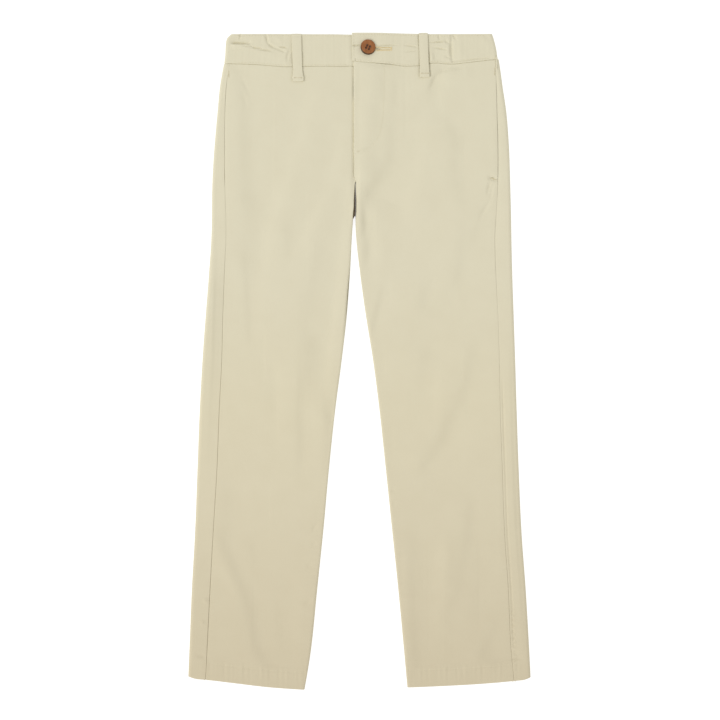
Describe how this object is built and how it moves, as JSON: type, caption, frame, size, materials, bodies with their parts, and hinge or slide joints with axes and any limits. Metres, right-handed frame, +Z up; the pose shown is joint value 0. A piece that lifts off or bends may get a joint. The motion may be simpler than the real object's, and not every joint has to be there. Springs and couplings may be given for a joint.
{
  "type": "child's chino trousers",
  "caption": "Straight-leg cotton twill trousers laid flat, with a buttoned waistband, belt loops, fly and side pockets.",
  "frame": {"origin": "on the surface the trousers lie on, under the middle of their outline", "axes": "+Y from the hems to the waist, +X towards the wearer's left, +Z up from the surface"},
  "size_m": [0.3998, 0.7699, 0.0121],
  "materials": {
    "twill": "matt cotton twill, pale khaki",
    "band_twill": "matt cotton twill, pale khaki, double",
    "button_brown": "satin, horn-like brown",
    "thread_dark": "matt dark brown thread"
  },
  "bodies": {
    "root": {"front_right": "twill", "front_left": "twill", "back_right": "twill", "back_left": "twill", "pocket_facing_right": "twill", "pocket_facing_left": "twill", "waistband_right": "band_twill", "waistband_left": "band_twill", "belt_loop_right": "band_twill", "belt_loop_left": "band_twill", "button": "button_brown", "button_thread": "thread_dark"}
  },
  "joints": []
}
